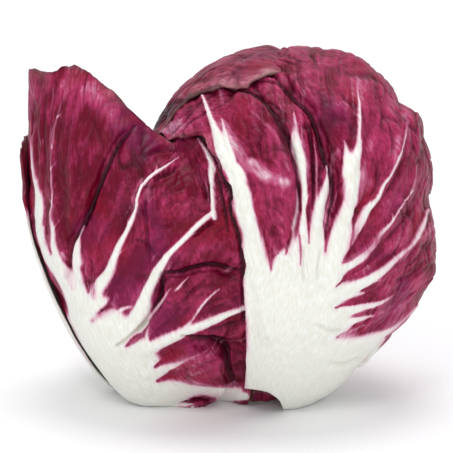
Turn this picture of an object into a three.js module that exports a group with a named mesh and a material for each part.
// Radicchio head, as picked: a ball of wrapped leaves on a short cut stem, with the
// outermost leaves opened out into a cup on the left side. Millimetres, +Z up.
// The origin is the middle of the stem's cut face, which rests on the surface.
import * as THREE from 'three';

// ---------------------------------------------------------------------------
// Driving dimensions
// ---------------------------------------------------------------------------

const BLADE = 1.1;        // thickness of a leaf blade between its ribs
const DEG = Math.PI / 180;

// The ball is an egg with a leaning axis, a domed crown and a neck towards the stem.
const EGG = {
  center: new THREE.Vector3(9, 0, 64),
  lean: 0.13,             // sideways shift of the axis per unit of height
  waist: 56,              // radius level with the centre
  crown: 10.5,            // how much further the crown reaches
  taper: 1.8,             // slimming just under the waist
  neck: 13.8,             // reach of the neck towards the stem
  cheek: 3.5,             // fullness low on the right side
};

const STEM = { radius: 10.6, height: 12.5, top: 8, bevel: 0.8, sides: 24 };

// Depth of each layer under the surface of the egg: [near the stem, on the ball].
const LAYERS = {
  front: [-0.5, -2.6],
  crown: [-3.6, -1.1],
  back: [-0.5, -5.2],
  right: [-3.6, -7.8],
  inner: [-6.5, -7.8],
  heart: -11.6,
};

// The front elevation is tilted back by LEAN. Ribs and folds that show there are laid
// out on it as [across, up] and lifted onto the leaf.
const LEAN = 15 * DEG;
const ELEVATION_HEIGHT = 62.9;

const { lerp, smoothstep, clamp } = THREE.MathUtils;
const vec = (x, y, z) => new THREE.Vector3(x, y, z);
const AXIS = vec(EGG.lean, 0, 1).normalize();
const CHEEK = vec(1, 0, 0).addScaledVector(AXIS, -AXIS.x).normalize();

// ---------------------------------------------------------------------------
// Curves and frames
// ---------------------------------------------------------------------------

// A smooth function through [x, y] keys, held level past its ends.
function profile(keys) {
  const slope = (k) => {
    const a = keys[Math.max(k - 1, 0)];
    const b = keys[Math.min(k + 1, keys.length - 1)];
    return (b[1] - a[1]) / (b[0] - a[0]);
  };
  return (x) => {
    const at = clamp(x, keys[0][0], keys[keys.length - 1][0]);
    let k = 0;
    while (k < keys.length - 2 && at > keys[k + 1][0]) k += 1;
    const span = keys[k + 1][0] - keys[k][0];
    const t = (at - keys[k][0]) / span;
    const rise = (2 * t ** 3 - 3 * t ** 2 + 1) * keys[k][1] + (3 * t ** 2 - 2 * t ** 3) * keys[k + 1][1];
    return rise + span * ((t ** 3 - 2 * t ** 2 + t) * slope(k) + (t ** 3 - t ** 2) * slope(k + 1));
  };
}

// A point of the front elevation, at a depth towards the viewer.
function front(across, up, depth) {
  return vec(
    across,
    up * Math.sin(LEAN) - depth * Math.cos(LEAN),
    ELEVATION_HEIGHT + depth * Math.sin(LEAN) + up * Math.cos(LEAN),
  );
}

// The same, back: [across, up, depth] of a point.
function elevation(point) {
  const z = point.z - ELEVATION_HEIGHT;
  return [
    point.x,
    z * Math.cos(LEAN) + point.y * Math.sin(LEAN),
    z * Math.sin(LEAN) - point.y * Math.cos(LEAN),
  ];
}

function eggRadius(direction) {
  const up = direction.dot(AXIS);
  const side = direction.dot(CHEEK);
  const body = up >= 0
    ? EGG.waist + EGG.crown * up ** 2
    : EGG.waist + EGG.taper * up + EGG.neck * (-up) ** 5;
  return body + EGG.cheek * Math.max(side, 0) ** 2 * clamp(0.5 - up, 0, 1.5) - side;
}

// Nothing reaches below the surface that the head rests on.
const FLOOR_BLEND = 1.2;
function restOnFloor(point, lowest = 0.35) {
  const above = point.z - lowest;
  if (above < FLOOR_BLEND) point.z = lowest + FLOOR_BLEND * Math.exp(above / FLOOR_BLEND - 1);
  return point;
}

// ---------------------------------------------------------------------------
// Leaf surfaces: each is a function (u, v) => point, u to the right, v from base to tip
// ---------------------------------------------------------------------------

// A slow, uneven wave for the outline of a margin.
function waver(x, phase) {
  return 0.8 * Math.sin(2 * x + phase) + 0.6 * Math.sin(4.3 * x + 2.1 * phase);
}

// A leaf wrapped on the ball. Its middle runs at an azimuth from the stem over the side
// (90 degrees) to the crown (180 degrees), and its margins are angles to either side.
function wrapped({ azimuth, layer, left, right, base, tip, ruffle = 1, swell = () => 0 }) {
  const out = vec(Math.sin(azimuth * DEG), -Math.cos(azimuth * DEG), 0);
  out.addScaledVector(AXIS, -out.dot(AXIS)).normalize();
  const side = AXIS.clone().cross(out);
  const leftAt = profile(left);
  const rightAt = profile(right);
  const baseAt = profile(base);
  const tipAt = profile(tip);
  return (u, v) => {
    const along = lerp(baseAt(u), tipAt(u) + ruffle * waver(6 * u, azimuth), v);
    const edges = ruffle * smoothstep(v, 0.15, 0.4);
    const across = lerp(
      leftAt(along) + edges * waver(along / 13, azimuth + 2),
      rightAt(along) + edges * waver(along / 15, azimuth + 4),
      u,
    );
    const s = along * DEG;
    const w = across * DEG;
    const direction = vec(0, 0, 0)
      .addScaledVector(AXIS, -Math.cos(s) * Math.cos(w))
      .addScaledVector(out, Math.sin(s) * Math.cos(w))
      .addScaledVector(side, Math.sin(w));
    const tilt = Math.acos(clamp(-direction.dot(AXIS), -1, 1)) / DEG;
    const level = lerp(layer[0], layer[1], smoothstep(tilt, 15, 45)) + swell(along, across);
    return restOnFloor(EGG.center.clone().addScaledVector(direction, eggRadius(direction) + level));
  };
}

// The cup is lofted through guide curves that start round the stem. Guide 0 clings to
// the ball under the front leaf's left margin, guide 5 runs up the far left side and
// guide 9 clings to the back of the ball.
const at = vec;
const CUP_BASE = { radius: 12.4, height: 0.3, angles: [-15, -30, -45, -60, -75, -90, -105, -128, -158, -193] };
const CUP_GUIDES = [
  [front(-1, -53, 8), front(0, -42, 28), front(0, -28, 40), front(-0.5, -14, 46),
    front(-1.6, -2, 49), front(-4.5, 11, 48), front(-10, 28, 43)],
  [front(-8, -55.3, 8), front(-12.6, -44.5, 26), front(-15.8, -30, 39), front(-18.4, -15.7, 46),
    front(-20.5, -1.3, 48), front(-23, 14.5, 45), front(-26.3, 34.5, 29)],
  [front(-15.1, -58.1, 0), front(-25.9, -49.9, 18), front(-33.1, -33.7, 35), front(-36.7, -15.7, 43),
    front(-38.5, 0.5, 45), front(-38.9, 16.7, 43), front(-38.5, 36.8, 32)],
  [front(-18.7, -61.7, -7), front(-34.9, -58.1, 9), front(-46.4, -42.7, 26), front(-52.2, -22.9, 35),
    front(-54.4, -3.1, 38), front(-54, 18.5, 37), front(-52.9, 49.9, 28)],
  [front(-20.5, -63.5, -4), front(-42.1, -63.5, 0), front(-57.6, -44.5, 15), front(-64.4, -22.9, 25),
    front(-67.3, -3.1, 28), front(-67.7, 20.3, 28), front(-66.6, 58, 22)],
  [front(-22.3, -64.8, 0), front(-45.7, -62.6, -8), front(-60.5, -44.5, 3), front(-71, -21.8, 11),
    front(-77.2, -0.5, 13), front(-79.2, 22.1, 14), front(-79.6, 58, 13)],
  [front(-25, -60.5, -16), front(-47, -56.5, -24), front(-62, -42, -15), front(-73.3, -20.5, -8),
    front(-79.8, 0, -5), front(-81, 22, -3), front(-80.4, 53.5, -1)],
  [at(-22, 20, 4), at(-40, 28, 12), at(-56, 30, 25), at(-66, 30, 42),
    at(-71, 28, 62), at(-71, 27, 80), at(-64, 27, 98)],
  [at(-8, 27, 6), at(-16, 40, 17), at(-26, 48, 30), at(-33, 53, 46),
    at(-36, 55, 62), at(-36, 54, 76), at(-32, 50, 89)],
  [at(3, 30, 8), at(5, 40, 18), at(6, 49, 31), at(4, 56, 46),
    at(0, 59.5, 62), at(-6, 59, 77), at(-14, 55, 89)],
];

const cupRows = CUP_GUIDES.map((guide, k) => {
  const angle = CUP_BASE.angles[k] * DEG;
  const { radius, height } = CUP_BASE;
  const start = vec(radius * Math.sin(angle), -radius * Math.cos(angle), height);
  return new THREE.CatmullRomCurve3([start, ...guide], false, 'catmullrom', 0.5);
});

// Uniform Catmull-Rom through four points, with t from the second to the third.
function blend(a, b, c, d, t) {
  const part = (p, q, r, s) => {
    const m = (r - p) / 2;
    const n = (s - q) / 2;
    return (2 * t ** 3 - 3 * t ** 2 + 1) * q + (t ** 3 - 2 * t ** 2 + t) * m
      + (3 * t ** 2 - 2 * t ** 3) * r + (t ** 3 - t ** 2) * n;
  };
  return vec(part(a.x, b.x, c.x, d.x), part(a.y, b.y, c.y, d.y), part(a.z, b.z, c.z, d.z));
}

function cupPoint(guide, t) {
  const k = clamp(Math.floor(guide), 0, cupRows.length - 2);
  const row = (n) => cupRows[clamp(n, 0, cupRows.length - 1)].getPoint(t);
  return blend(row(k - 1), row(k), row(k + 1), row(k + 2), guide - k);
}

// Moves a cup point out or in along the ray from the ball's centre.
function toBall(point, change) {
  const ray = point.clone().sub(EGG.center);
  const reach = ray.length();
  ray.divideScalar(reach);
  const tilt = Math.acos(clamp(-ray.dot(AXIS), -1, 1)) / DEG;
  const offset = reach - eggRadius(ray);
  return EGG.center.clone().addScaledVector(ray, eggRadius(ray) + change(offset, tilt));
}

const OPEN_TIP_WAVE = 0.006;  // unevenness of the open leaf's top margin, in shares of its length
const OPEN_CORNER = 0.033;    // how far its left corner is rounded off, likewise
const CLING = -4.6;       // depth at which the open leaf passes under the front leaf
const BACK_CLEAR = 3.6;   // how far the back of the cup stays off the ball
const BACK_STEP = 2.2;    // the back leaf of the cup lies this far outside the front one

function openLeaf(u, v) {
  const guide = lerp(6.35, 0, u);
  const hold = 0.35 + 1.2 * smoothstep(v, 0.85, 1);
  const t = v * (1 + OPEN_TIP_WAVE * (waver(1.1 * guide, 1) - 1) - OPEN_CORNER * smoothstep(guide, 5.7, 6.35));
  const point = toBall(cupPoint(guide, t), (offset, tilt) => {
    const cling = lerp(-0.5, CLING, smoothstep(tilt, 10, 22));
    return lerp(cling, Math.max(offset, cling), smoothstep(guide, hold, hold + 1.05));
  });
  return restOnFloor(point);
}

const cupBackFront = profile([[0, 6.75], [0.18, 6.6], [0.42, 5.45], [1, 5.45]]);
const cupBackTip = profile([[5.45, 0.87], [5.8, 0.9], [6.3, 0.915], [7, 0.9], [8, 0.88], [8.6, 0.85], [9, 0.74]]);
function openBackLeaf(u, v) {
  const guide = lerp(9, cupBackFront(v), u);
  const t = v * cupBackTip(guide);
  const step = BACK_STEP * smoothstep(t, 0.06, 0.2) * (1 - smoothstep(guide, 7, 8.5));
  const point = cupPoint(guide, t);
  const ahead = cupPoint(guide, Math.min(t + 0.01, 1)).sub(cupPoint(guide, Math.max(t - 0.01, 0)));
  const aside = cupPoint(guide - 0.05, t).sub(cupPoint(guide + 0.05, t));
  point.addScaledVector(aside.cross(ahead).normalize(), step);
  const clear = toBall(point, (offset, tilt) => {
    const least = lerp(-0.5, BACK_CLEAR, smoothstep(tilt, 12, 27));
    return Math.max(offset, least);
  });
  return restOnFloor(clear);
}

// ---------------------------------------------------------------------------
// Ribs and folds
// ---------------------------------------------------------------------------

// Rounds a short list of points off into a smooth path.
function smoothPath(points, steps = 14) {
  const curve = new THREE.CatmullRomCurve3(points, false, 'centripetal');
  return curve.getPoints(steps);
}

// Lifts paths drawn on the front elevation onto a leaf: the nearest point of a fine
// lattice of the leaf, the one in front if two lie behind each other.
function lifter(surface, lattice = 90) {
  const samples = [];
  for (let i = 0; i <= lattice; i += 1) {
    for (let j = 0; j <= lattice; j += 1) {
      const point = surface(i / lattice, j / lattice);
      samples.push([...elevation(point), point]);
    }
  }
  return (path) => smoothPath(path.map(([across, up]) => vec(across, up, 0))).map((flat) => {
    let best = Infinity;
    let found = null;
    for (const [x, up, depth, point] of samples) {
      const cost = (x - flat.x) ** 2 + (up - flat.y) ** 2 - 0.05 * depth;
      if (cost < best) {
        best = cost;
        found = point;
      }
    }
    return found;
  });
}

// Nearest place on a path: distance, share of the way along it, and the side it is on.
function nearest(path, point, normal) {
  let best = Infinity;
  let along = 0;
  let side = 1;
  const step = vec(0, 0, 0);
  const from = vec(0, 0, 0);
  for (let k = 0; k < path.length - 1; k += 1) {
    step.subVectors(path[k + 1], path[k]);
    from.subVectors(point, path[k]);
    const length2 = Math.max(step.lengthSq(), 1e-9);
    const t = clamp(from.dot(step) / length2, 0, 1);
    const gap = from.addScaledVector(step, -t);
    const distance2 = gap.lengthSq();
    if (distance2 < best) {
      best = distance2;
      along = (k + t) / (path.length - 1);
      side = Math.sign(gap.cross(step).dot(normal)) || 1;
    }
  }
  return { distance: Math.sqrt(best), along, side };
}

// A rib is a rounded ridge that thins towards its tip. Ribs that meet don't add up.
function ribHeight(ribs, point, normal) {
  let sum = 0;
  for (const { path, width, height } of ribs) {
    const { distance, along } = nearest(path, point, normal);
    const half = lerp(width[0], width[1], along);
    const ridge = lerp(height[0], height[1], along) * Math.exp(-((distance / half) ** 2));
    sum += ridge ** 3;
  }
  return Math.cbrt(sum);
}

// A fold lifts the blade on one side of a path, steeply at the path and fading away.
function foldHeight(folds, point, normal) {
  let sum = 0;
  for (const { path, side, height, reach, step = 2.2 } of folds) {
    const near = nearest(path, point, normal);
    const ends = smoothstep(near.along, 0, 0.14) * (1 - smoothstep(near.along, 0.82, 1));
    const across = near.distance * near.side * side;
    sum += height * ends * smoothstep(across, -0.4, step) * Math.exp(-((Math.max(across, 0) / reach) ** 2));
  }
  return sum;
}

// Ribs that fan from the base of a leaf by rule, drawn in its own u and v.
function fanRibs(surface, count, { width, height, spread = 1, reach = 0.9 }) {
  const ribs = [];
  for (let k = 0; k < count; k += 1) {
    const lane = (k + 0.5) / count;
    const middle = 1 - Math.abs(2 * lane - 1);
    const end = lerp(0.62, reach, middle);
    const points = [];
    for (let n = 0; n <= 6; n += 1) {
      const v = end * (n / 6);
      const u = 0.5 + (lane - 0.5) * spread * smoothstep(v, -0.25, 0.75);
      points.push(surface(u, v));
    }
    const share = lerp(0.6, 1, middle);
    ribs.push({ path: smoothPath(points), width, height: [height[0] * share, height[1] * share] });
  }
  return ribs;
}

// ---------------------------------------------------------------------------
// Solids
// ---------------------------------------------------------------------------

function closedGeometry(positions, triangles) {
  const geometry = new THREE.BufferGeometry();
  geometry.setAttribute('position', new THREE.Float32BufferAttribute(positions, 3));
  geometry.setIndex(triangles);
  geometry.computeVertexNormals();
  return geometry;
}

// A blade: an outer and an inner grid, split into triangles alike, joined round the edge.
// Folds bend both faces, ribs stand on the outer face, and the margin waves.
function blade(surface, { columns, rows, ribs = [], folds = [], wave = () => 0, thickness = BLADE }) {
  const outer = [];
  const inner = [];
  const du = 0.5 / columns;
  const dv = 0.5 / rows;
  for (let j = 0; j <= rows; j += 1) {
    for (let i = 0; i <= columns; i += 1) {
      const u = i / columns;
      const v = j / rows;
      const point = surface(u, v);
      const across = surface(Math.min(u + du, 1), v).sub(surface(Math.max(u - du, 0), v));
      const along = surface(u, Math.min(v + dv, 1)).sub(surface(u, Math.max(v - dv, 0)));
      const normal = across.cross(along).normalize();
      const lift = foldHeight(folds, point, normal) + wave(u, v);
      const shaped = point.clone().addScaledVector(normal, lift);
      const skin = shaped.clone().addScaledVector(normal, ribHeight(ribs, point, normal));
      skin.z = Math.max(skin.z, 0);
      outer.push(skin);
      shaped.addScaledVector(normal, -thickness);
      shaped.z = Math.max(shaped.z, 0.05);
      inner.push(shaped);
    }
  }
  const wide = columns + 1;
  const offset = outer.length;
  const triangles = [];
  const quad = (a, b, c, d) => triangles.push(a, b, c, a, c, d);
  for (let j = 0; j < rows; j += 1) {
    for (let i = 0; i < columns; i += 1) {
      const a = j * wide + i;
      quad(a, a + 1, a + 1 + wide, a + wide);
      triangles.push(offset + a, offset + a + 1 + wide, offset + a + 1);
      triangles.push(offset + a, offset + a + wide, offset + a + 1 + wide);
    }
  }
  const wall = (a, b) => quad(b, a, offset + a, offset + b);
  for (let i = 0; i < columns; i += 1) {
    wall(i, i + 1);
    wall(rows * wide + i + 1, rows * wide + i);
  }
  for (let j = 0; j < rows; j += 1) {
    wall(j * wide + columns, (j + 1) * wide + columns);
    wall((j + 1) * wide, j * wide);
  }
  return closedGeometry([...outer, ...inner].flatMap((p) => [p.x, p.y, p.z]), triangles);
}

// ---------------------------------------------------------------------------
// The pieces
// ---------------------------------------------------------------------------

function leafColor(hex, roughness = 0.45) {
  return new THREE.MeshStandardMaterial({ color: hex, roughness, metalness: 0 });
}

// The cut stem: a short tapered plug with a flat face underneath.
function stemGeometry() {
  const { radius, height, top, bevel, sides } = STEM;
  const outline = [
    [0, 0], [radius - bevel, 0], [radius, bevel], [radius - 0.3, height * 0.4],
    [top + 0.8, height * 0.8], [top, height], [0, height],
  ];
  return new THREE.LatheGeometry(outline.map(([x, y]) => new THREE.Vector2(x, y)), sides)
    .rotateX(Math.PI / 2);
}

// The heart: tightly wrapped inner leaves as one core, with three margins that overlap.
const HEART = { cut: 17, columns: 36, rows: 15, step: 1.7, wraps: 3, twist: 0.9 };
function heartGeometry() {
  const east = CHEEK;
  const north = AXIS.clone().cross(east);
  const positions = [];
  const triangles = [];
  const ringPoint = (turn, tilt) => {
    const direction = vec(0, 0, 0)
      .addScaledVector(AXIS, -Math.cos(tilt))
      .addScaledVector(east, Math.sin(tilt) * Math.cos(turn))
      .addScaledVector(north, Math.sin(tilt) * Math.sin(turn));
    const wrap = (turn / (2 * Math.PI)) * HEART.wraps + HEART.twist * Math.sin(tilt * 0.8);
    const share = wrap - Math.floor(wrap);
    const relief = HEART.step * (share - 0.5) * Math.sin(tilt);
    const point = EGG.center.clone().addScaledVector(direction, eggRadius(direction) + LAYERS.heart + relief);
    return point;
  };
  for (let j = 0; j < HEART.rows; j += 1) {
    const tilt = lerp(HEART.cut, 176, j / (HEART.rows - 1)) * DEG;
    for (let i = 0; i < HEART.columns; i += 1) {
      const point = ringPoint((i / HEART.columns) * 2 * Math.PI, tilt);
      point.z = Math.max(point.z, STEM.height + 0.5);
      positions.push(point.x, point.y, point.z);
    }
  }
  const bottom = positions.length / 3;
  positions.push(EGG.lean * STEM.height, 0, STEM.height + 0.5);
  const crown = ringPoint(0, 180 * DEG);
  positions.push(crown.x, crown.y, crown.z);
  const top = bottom + 1;
  const last = (HEART.rows - 1) * HEART.columns;
  for (let i = 0; i < HEART.columns; i += 1) {
    const next = (i + 1) % HEART.columns;
    triangles.push(bottom, next, i, top, last + i, last + next);
    for (let j = 0; j < HEART.rows - 1; j += 1) {
      const a = j * HEART.columns;
      const b = a + HEART.columns;
      triangles.push(a + i, a + next, b + next, a + i, b + next, b + i);
    }
  }
  return closedGeometry(positions, triangles);
}

// Front leaf: wraps the front and right of the ball, and its white ribs fan from a wide
// white base. Its left margin lies over the open leaf and its tip under the crown leaf.
// Its right side is fuller low down than high up.
const rightSwell = profile([[85, 2.6], [108, 0.6], [125, -0.9], [150, 0.4]]);
const frontLeaf = wrapped({
  azimuth: 30,
  layer: LAYERS.front,
  left: [[10, -12], [20, -18], [43, -31.7], [66, -40], [85, -44.4], [121, -48.4], [147, -49.2],
    [164, -50.4], [181, -56.5], [210, -55]],
  right: [[10, 14], [21, 19], [40, 25.5], [49, 33.5], [60, 45], [82, 58], [95, 62], [120, 60],
    [150, 52], [180, 46], [200, 40]],
  base: [[0, 20], [0.2, 25], [0.32, 24.5], [0.4, 20], [0.47, 16], [0.55, 13.5], [0.65, 12], [0.8, 11], [1, 11]],
  tip: [[0, 210], [0.1, 205], [0.25, 191], [0.4, 185], [0.6, 190], [0.8, 192], [1, 188]],
  swell: (along, across) => rightSwell(along) * smoothstep(across, 22, 50)
    + 2.8 * smoothstep(across, 0, 16) * smoothstep(along, 112, 140) * (1 - smoothstep(along, 176, 196)),
});

const FRONT_RIBS = [
  { at: [[12.5, -63], [12.5, -44.5], [14, -30]], width: [13, 9], height: [3.4, 1.6] },
  { at: [[28, -58], [22, -50], [19, -38]], width: [9, 7], height: [2.6, 1.2] },
  { at: [[4, -37.5], [0.5, -17.5], [-2.5, 2.5], [-7, 18], [-11.5, 30.5], [-16, 38.5], [-18, 43]],
    width: [4.2, 1.2], height: [2.4, 0.4] },
  { at: [[9.5, -20], [12.5, -3], [14.5, 7.5], [13.5, 18.5]], width: [2.6, 1], height: [1, 0.4] },
  { at: [[15.5, -37.5], [16.5, -17.5], [17.5, -5], [17.5, 6], [16.5, 16.5], [15, 26], [13.5, 36.5], [12, 42]],
    width: [3.4, 1.1], height: [1.8, 0.7] },
  { at: [[20, -33.5], [21, -15.5], [22.5, -2], [24.5, 7.5], [26, 15], [25, 19.5]], width: [3.2, 1.2], height: [1.7, 0.8] },
  { at: [[24.5, -37.5], [26.5, -19.5], [29, -3], [32.5, 9.5], [34.5, 19.5], [36.5, 36.5], [35.5, 54]],
    width: [4, 0.9], height: [2.3, 0.5] },
  { at: [[28, -23], [33, -7], [37, 5], [44, 13], [49.5, 22], [53, 31], [53.5, 35.5]], width: [3.4, 1], height: [2, 0.5] },
  { at: [[28, -26.5], [31.5, -16.5], [38, -11.5], [44.5, -5], [51, 4.5], [55.5, 13], [57.5, 22]],
    width: [3.2, 1], height: [1.9, 0.5] },
  { at: [[22.5, -33.5], [31.5, -23], [42, -18], [51, -11.5], [58, -5], [61.5, 4.5]], width: [3.6, 1.2], height: [2, 0.7] },
  { at: [[23.5, -33.5], [33, -29.5], [40.5, -27], [49, -24.5]], width: [4, 1.6], height: [1.8, 0.6] },
  { at: [[24.5, -44.5], [30.5, -41.5], [43, -39], [53.5, -32], [57.5, -29.5]], width: [4.4, 2], height: [2, 0.8] },
  { at: [[22.5, -51.5], [33.5, -49], [40, -44.5]], width: [5, 3], height: [1.8, 0.8] },
];

const FRONT_FOLDS = [
  { at: [[-3, 47], [3, 43.5], [8.5, 36], [13, 27], [15, 15.5], [15, 6], [12.5, -5], [11, -12]],
    side: 1, height: 3.6, reach: 15 },
  { at: [[12.5, 49.5], [17, 43.5], [21, 37.5], [23.5, 31], [24.5, 23], [27, 18], [27.5, 12], [26.5, 5], [25, -3]],
    side: -1, height: 4, reach: 14 },
];

// The crown leaf comes up from the back left and folds over the crown; its crumpled rim
// hangs over the front leaf's tip.
const crownLeaf = wrapped({
  azimuth: -120,
  layer: LAYERS.crown,
  left: [[12, -5], [20, -8], [40, -16], [50, -23], [70, -38], [90, -48], [130, -52], [165, -48], [200, -40]],
  right: [[12, 6], [20, 12], [40, 20], [70, 27], [100, 31], [130, 34], [142, 32], [154, 31],
    [166, 31], [176, 29], [200, 27]],
  base: [[0, 12], [1, 12]],
  tip: [[0, 158], [0.3, 168], [0.5, 175.5], [0.62, 179.5], [0.69, 181.5], [0.79, 182], [0.88, 181], [1, 176]],
});

const backLeaf = wrapped({
  azimuth: 148,
  layer: LAYERS.back,
  left: [[11, -9], [30, -25], [60, -44], [90, -51], [130, -48], [160, -38]],
  right: [[11, 3], [18, 8], [25, 18], [35, 26], [60, 38], [90, 48], [130, 46], [160, 36]],
  base: [[0, 11.5], [1, 11.5]],
  tip: [[0, 142], [0.5, 152], [1, 144]],
});

// Beyond the front leaf's right margin this leaf swells out and shows as a sliver.
const rightLeaf = wrapped({
  azimuth: 85,
  layer: LAYERS.right,
  left: [[12, -9], [30, -24], [60, -40], [100, -46], [150, -40]],
  right: [[12, 9], [30, 24], [60, 40], [100, 44], [150, 38]],
  base: [[0, 12], [1, 12]],
  tip: [[0, 146], [0.5, 158], [1, 148]],
  swell: (along, across) => 6.4 * smoothstep(across, -12, -4) * (1 - smoothstep(across, 2, 10))
    * smoothstep(along, 26, 40) * (1 - smoothstep(along, 50, 66)),
});

const innerLeaf = wrapped({
  azimuth: -72,
  layer: LAYERS.inner,
  left: [[13, -10], [30, -26], [50, -38], [80, -48], [130, -46], [160, -36]],
  right: [[13, 10], [30, 26], [50, 37], [80, 45], [130, 44], [160, 36]],
  base: [[0, 13], [1, 13]],
  tip: [[0, 150], [0.5, 164], [1, 152]],
});

const OPEN_RIBS = [
  { at: [[-4, -60], [-20.5, -60], [-38.5, -57], [-51, -44.5], [-58.5, -32]], width: [6, 9], height: [1.6, 1.4] },
  { at: [[-62, -32], [-71, -13], [-75.5, -3], [-78.4, 7.5], [-80, 19.5], [-80.8, 31], [-80.8, 40]],
    width: [3.6, 1], height: [1.8, 0.6] },
  { at: [[-60, -30], [-67.5, -13], [-71, -3], [-74, 7], [-73.5, 22.5], [-71.5, 40], [-68.5, 50]],
    width: [2.8, 0.8], height: [1.4, 0.4] },
  { at: [[-55, -34], [-62, -21], [-65, -13], [-64.5, -5], [-63, -0.5]], width: [3, 1], height: [1.4, 0.4] },
  { at: [[-51, -33.5], [-54.5, -23], [-52, -14], [-48.5, -6], [-44.5, 5], [-43, 11.5], [-40.5, 16], [-35, 20.5], [-28, 24.5]],
    width: [3, 1], height: [2, 0.9] },
  { at: [[-49.5, -42.5], [-44, -32], [-38.5, -21], [-34, -13], [-27.5, -6], [-22, -1.5], [-15, 4.5]],
    width: [3.8, 1.2], height: [2.4, 1.2] },
  { at: [[-14, 2], [-16, 9.5], [-16.5, 17.5], [-18, 25.5]], width: [1.3, 0.8], height: [1.2, 0.6] },
  { at: [[-43, -38.5], [-38, -32], [-34, -26.5], [-31, -21.5]], width: [1.6, 0.8], height: [1.2, 0.5] },
  { at: [[-26.5, -37.5], [-22, -31], [-17.5, -25.5], [-13.5, -22.5]], width: [1.4, 0.8], height: [1.1, 0.5] },
  { at: [[-42, -44.5], [-33, -40], [-26, -36], [-19, -33.5], [-9.5, -31], [-4, -29.5]], width: [3, 1.2], height: [2, 1] },
  { at: [[-38.5, -52.5], [-30.5, -49.5], [-24, -47.5], [-17.5, -44]], width: [2.6, 1], height: [1.6, 0.7] },
];

const OPEN_FOLDS = [
  { at: [[-47.5, -40], [-42, -36.5], [-38, -31.5], [-34, -25.5], [-33.5, -20], [-31, -16.5], [-24, -16.5], [-14, -13.5], [-5, -13]],
    side: 1, height: 3.6, reach: 13 },
  { at: [[-46.5, 38.5], [-52, 25.5], [-57.5, 11.5], [-61.5, 0.5], [-66, -11.5]], side: 1, height: 2.2, reach: 14 },
  { at: [[-27, -37.5], [-19, -41], [-11, -46], [-10, -52.5], [-7, -57]], side: 1, height: 3, reach: 12, step: 4 },
];

// A torn stub of an outer leaf, left on the front of the stem.
const STUB = { from: -6, to: 50, inner: 12.6, outer: 17.2, height: 6.2 };
function leafStub(u, v) {
  const angle = lerp(STUB.from, STUB.to, u) * DEG;
  const ragged = 0.72 + 0.28 * Math.abs(Math.sin(5.2 * u + 0.6));
  const reach = lerp(STUB.inner, STUB.outer, v * ragged);
  const height = 0.6 + STUB.height * (v * ragged) ** 1.6;
  return vec(reach * Math.sin(angle), -reach * Math.cos(angle), height);
}

// Margins wave outwards, most near the tip and the sides.
function marginWave(amount, crests, phase, start = 0.72) {
  return (u, v) => {
    const edge = Math.max(smoothstep(v, start, 1), 0.7 * smoothstep(Math.abs(2 * u - 1), 0.7, 1));
    return amount * edge * (0.5 + 0.5 * Math.sin(crests * 2 * Math.PI * (u + 0.35 * v) + phase));
  };
}

const liftOnFront = lifter(frontLeaf);
const liftOnOpen = lifter(openLeaf);
const withPath = (lift) => ({ at: path, ...rest }) => ({ path: lift(path), ...rest });

const PIECES = [
  { name: 'stem', geometry: stemGeometry(), color: 0xcfc6a4 },
  { name: 'heart', geometry: heartGeometry(), color: 0x8c2f4f },
  {
    name: 'leaf_front',
    geometry: blade(frontLeaf, {
      columns: 27,
      rows: 31,
      ribs: FRONT_RIBS.map(withPath(liftOnFront)),
      folds: FRONT_FOLDS.map(withPath(liftOnFront)),
    }),
    color: 0x8d2846,
  },
  {
    name: 'leaf_crown',
    geometry: blade(crownLeaf, {
      columns: 18,
      rows: 23,
      ribs: fanRibs(crownLeaf, 7, { width: [3, 1], height: [1.6, 0.5] }),
      wave: marginWave(0.9, 3.5, 0.4, 0.84),
    }),
    color: 0x7a2440,
  },
  {
    name: 'leaf_back',
    geometry: blade(backLeaf, {
      columns: 14,
      rows: 17,
      ribs: fanRibs(backLeaf, 7, { width: [3, 1], height: [1.2, 0.4] }),
    }),
    color: 0x7d2743,
  },
  {
    name: 'leaf_right',
    geometry: blade(rightLeaf, {
      columns: 11,
      rows: 14,
      ribs: fanRibs(rightLeaf, 5, { width: [2.6, 1], height: [1, 0.3] }),
    }),
    color: 0x84294a,
  },
  {
    name: 'leaf_inner',
    geometry: blade(innerLeaf, {
      columns: 11,
      rows: 14,
      ribs: fanRibs(innerLeaf, 5, { width: [2.6, 1], height: [1, 0.3] }),
    }),
    color: 0x84294a,
  },
  {
    name: 'leaf_open_front',
    geometry: blade(openLeaf, {
      columns: 29,
      rows: 27,
      ribs: OPEN_RIBS.map(withPath(liftOnOpen)),
      folds: OPEN_FOLDS.map(withPath(liftOnOpen)),
    }),
    color: 0x8a2545,
  },
  {
    name: 'leaf_open_back',
    geometry: blade(openBackLeaf, {
      columns: 17,
      rows: 18,
      ribs: fanRibs(openBackLeaf, 6, { width: [3, 1], height: [1.4, 0.4] }),
      wave: marginWave(1.4, 3, 1.2, 0.85),
    }),
    color: 0x7a2440,
  },
  { name: 'leaf_stub', geometry: blade(leafStub, { columns: 9, rows: 4 }), color: 0x6b2038 },
];

const group = new THREE.Group();
for (const { name, geometry, color } of PIECES) {
  const mesh = new THREE.Mesh(geometry, leafColor(color));
  mesh.name = name;
  group.add(mesh);
}

export default group;
